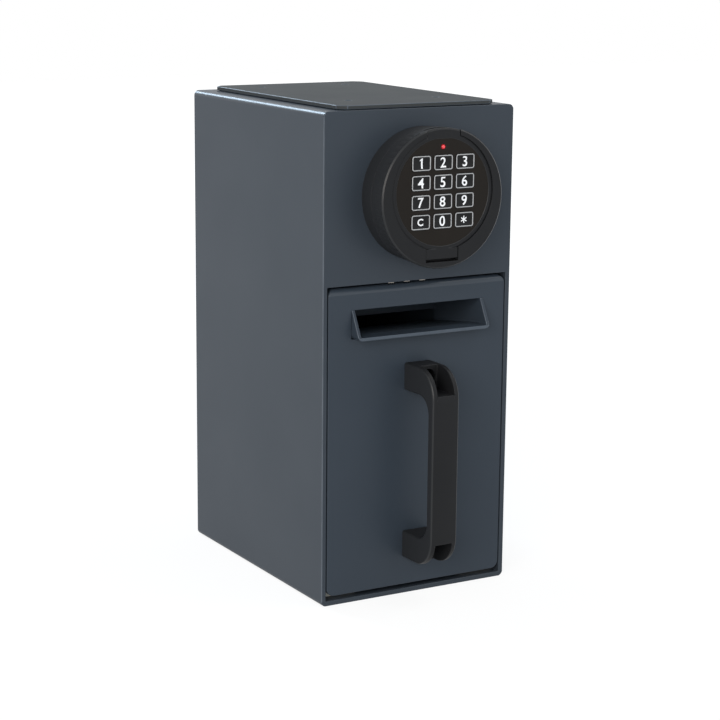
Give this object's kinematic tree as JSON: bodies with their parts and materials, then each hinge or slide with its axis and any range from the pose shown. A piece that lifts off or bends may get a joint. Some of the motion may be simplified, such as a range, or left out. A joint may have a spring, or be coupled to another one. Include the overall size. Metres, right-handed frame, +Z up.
{
  "type": "drop safe with deposit drawer",
  "caption": "Narrow steel drop safe with a pull-out deposit drawer, a note chute in the drawer front, a bridge handle and a round turning keypad lock above.",
  "frame": {"origin": "middle of the housing's underside", "axes": "+Z up, +X to the right as seen from the front, +Y from the front to the back"},
  "size_m": [0.132, 0.208, 0.3028],
  "materials": {
    "housing_coat": "anthracite powder coat, satin",
    "drawer_coat": "anthracite powder coat, satin",
    "black_plastic": "moulded, fine matte grain",
    "keypad_face": "printed membrane, low sheen",
    "key_plastic": "dark, with a light frame and character",
    "red_lens": "clear red, lit",
    "zinc_steel": "bright zinc plate",
    "dark_steel": "black oxide",
    "bush_brass": "turned",
    "board_green": "solder mask",
    "cell_wrap": "plain printed sleeve",
    "coil_wrap": "enamelled winding under clear tape",
    "glide_nylon": "natural nylon",
    "buffer_rubber": "black moulded rubber"
  },
  "bodies": {
    "housing": {"housing_shell": "housing_coat", "rear_panel": "housing_coat", "mounting_plate": "housing_coat", "divider_shelf": "housing_coat", "glide_strip_left": "glide_nylon", "glide_strip_right": "glide_nylon", "rear_buffer_left": "buffer_rubber", "rear_buffer_right": "buffer_rubber", "knob_base": "black_plastic", "base_screw_left": "zinc_steel", "base_screw_right": "zinc_steel", "spindle_bush": "bush_brass", "guide_stud_lower": "zinc_steel", "guide_stud_upper": "zinc_steel", "lock_case": "zinc_steel", "case_nut_lower": "zinc_steel", "case_nut_upper": "zinc_steel", "solenoid_frame": "dark_steel", "solenoid_coil": "coil_wrap", "solenoid_screw_lower": "zinc_steel", "solenoid_screw_upper": "zinc_steel"},
    "drawer": {"drawer_front": "drawer_coat", "drawer_tub": "drawer_coat", "deposit_chute": "drawer_coat", "chute_baffle": "drawer_coat", "pull_handle": "black_plastic", "handle_screw_lower": "dark_steel", "handle_screw_upper": "dark_steel"},
    "knob": {"knob_shell": "black_plastic", "spindle": "zinc_steel", "spindle_screw_lower": "dark_steel", "spindle_screw_upper": "dark_steel", "spindle_clip": "dark_steel", "drive_pinion": "zinc_steel", "contact_minus": "zinc_steel", "contact_plus": "zinc_steel", "contact_bridge_left": "zinc_steel", "contact_bridge_right": "zinc_steel", "battery_cell_1": "cell_wrap", "battery_cell_2": "cell_wrap", "battery_cell_3": "cell_wrap", "lid_hinge_pin": "zinc_steel"},
    "lid": {"keypad_lid": "keypad_face", "circuit_board": "board_green", "lamp_lens": "red_lens"},
    "bolt": {"bolt_comb": "zinc_steel"},
    "plunger": {"solenoid_plunger": "zinc_steel"},
    "key_1": {"key_1": "key_plastic"},
    "key_2": {"key_2": "key_plastic"},
    "key_3": {"key_3": "key_plastic"},
    "key_4": {"key_4": "key_plastic"},
    "key_5": {"key_5": "key_plastic"},
    "key_6": {"key_6": "key_plastic"},
    "key_7": {"key_7": "key_plastic"},
    "key_8": {"key_8": "key_plastic"},
    "key_9": {"key_9": "key_plastic"},
    "key_c": {"key_c": "key_plastic"},
    "key_0": {"key_0": "key_plastic"},
    "key_star": {"key_star": "key_plastic"}
  },
  "joints": [
    {"name": "drawer_slide", "type": "slide", "parent": "housing", "child": "drawer", "axis": [0, -1, 0], "range_m": [0, 0.138]},
    {"name": "knob_turn", "type": "hinge", "parent": "housing", "child": "knob", "pos_m": [0, -0.087, 0.249], "axis": [0, -1, 0], "range_deg": [0, 90]},
    {"name": "bolt_slide", "type": "slide", "parent": "housing", "child": "bolt", "axis": [0, 0, -1], "range_m": [0, 0.0099]},
    {"name": "lid_hinge", "type": "hinge", "parent": "knob", "child": "lid", "pos_m": [0, -0.1115, 0.2872], "axis": [-1, 0, 0], "range_deg": [0, 75]},
    {"name": "plunger_slide", "type": "slide", "parent": "housing", "child": "plunger", "axis": [0, -1, 0], "range_m": [0, 0.003]},
    {"name": "key_1_press", "type": "slide", "parent": "lid", "child": "key_1", "axis": [0, 1, 0], "range_m": [0, 0.0006], "stiffness_N_per_m": 1000},
    {"name": "key_2_press", "type": "slide", "parent": "lid", "child": "key_2", "axis": [0, 1, 0], "range_m": [0, 0.0006], "stiffness_N_per_m": 1000},
    {"name": "key_3_press", "type": "slide", "parent": "lid", "child": "key_3", "axis": [0, 1, 0], "range_m": [0, 0.0006], "stiffness_N_per_m": 1000},
    {"name": "key_4_press", "type": "slide", "parent": "lid", "child": "key_4", "axis": [0, 1, 0], "range_m": [0, 0.0006], "stiffness_N_per_m": 1000},
    {"name": "key_5_press", "type": "slide", "parent": "lid", "child": "key_5", "axis": [0, 1, 0], "range_m": [0, 0.0006], "stiffness_N_per_m": 1000},
    {"name": "key_6_press", "type": "slide", "parent": "lid", "child": "key_6", "axis": [0, 1, 0], "range_m": [0, 0.0006], "stiffness_N_per_m": 1000},
    {"name": "key_7_press", "type": "slide", "parent": "lid", "child": "key_7", "axis": [0, 1, 0], "range_m": [0, 0.0006], "stiffness_N_per_m": 1000},
    {"name": "key_8_press", "type": "slide", "parent": "lid", "child": "key_8", "axis": [0, 1, 0], "range_m": [0, 0.0006], "stiffness_N_per_m": 1000},
    {"name": "key_9_press", "type": "slide", "parent": "lid", "child": "key_9", "axis": [0, 1, 0], "range_m": [0, 0.0006], "stiffness_N_per_m": 1000},
    {"name": "key_c_press", "type": "slide", "parent": "lid", "child": "key_c", "axis": [0, 1, 0], "range_m": [0, 0.0006], "stiffness_N_per_m": 1000},
    {"name": "key_0_press", "type": "slide", "parent": "lid", "child": "key_0", "axis": [0, 1, 0], "range_m": [0, 0.0006], "stiffness_N_per_m": 1000},
    {"name": "key_star_press", "type": "slide", "parent": "lid", "child": "key_star", "axis": [0, 1, 0], "range_m": [0, 0.0006], "stiffness_N_per_m": 1000}
  ],
  "couplings": [
    {"joint": "bolt_slide", "follows": "knob_turn", "m_per_rad": 0.0063}
  ]
}
